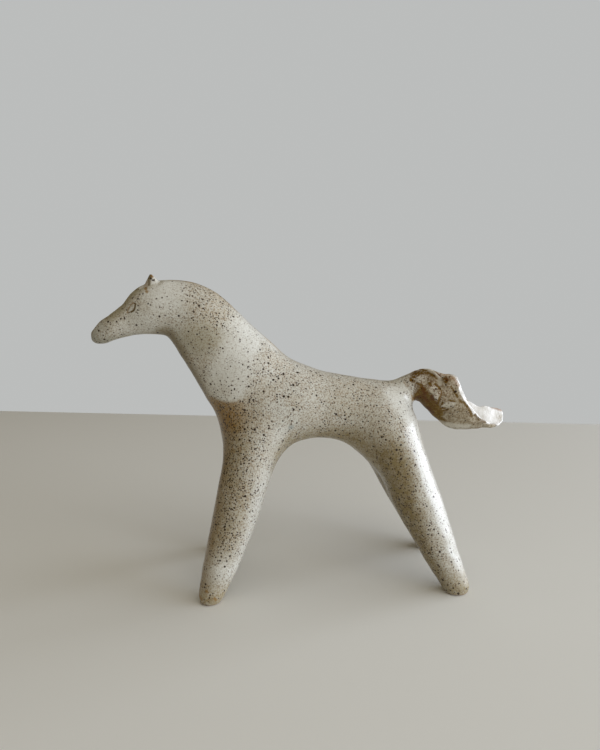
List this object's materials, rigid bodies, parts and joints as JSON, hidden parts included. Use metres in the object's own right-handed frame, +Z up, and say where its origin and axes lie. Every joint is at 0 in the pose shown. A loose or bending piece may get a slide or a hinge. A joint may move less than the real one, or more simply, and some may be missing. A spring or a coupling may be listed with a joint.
{
  "type": "stoneware horse figurine",
  "caption": "Free-standing hand-built horse of speckled glazed stoneware: thick barrel, arched neck, wedge head, splayed tapering legs and a curled slab tail.",
  "frame": {"origin": "on the ground, under the middle of the length and on the centre plane", "axes": "+X along the length towards the tail, so the horse faces -X; +Y towards the horse's right side, -Y towards its left side; +Z up"},
  "size_m": [0.2354, 0.0772, 0.173],
  "materials": {
    "speckled_glaze": "satin off-white glaze with dense dark brown iron specks, thin and olive-brown on the throat and shoulder",
    "ear_glaze": "satin glaze broken to brown at the thin tip and ridge",
    "tail_glaze": "satin mottled brown and olive glaze, pooled white at the lip and tip"
  },
  "bodies": {
    "root": {"barrel": "speckled_glaze", "neck": "speckled_glaze", "head": "speckled_glaze", "left_ear": "ear_glaze", "right_ear": "ear_glaze", "left_foreleg": "speckled_glaze", "right_foreleg": "speckled_glaze", "left_hind_leg": "speckled_glaze", "right_hind_leg": "speckled_glaze", "tail": "tail_glaze"}
  },
  "joints": []
}
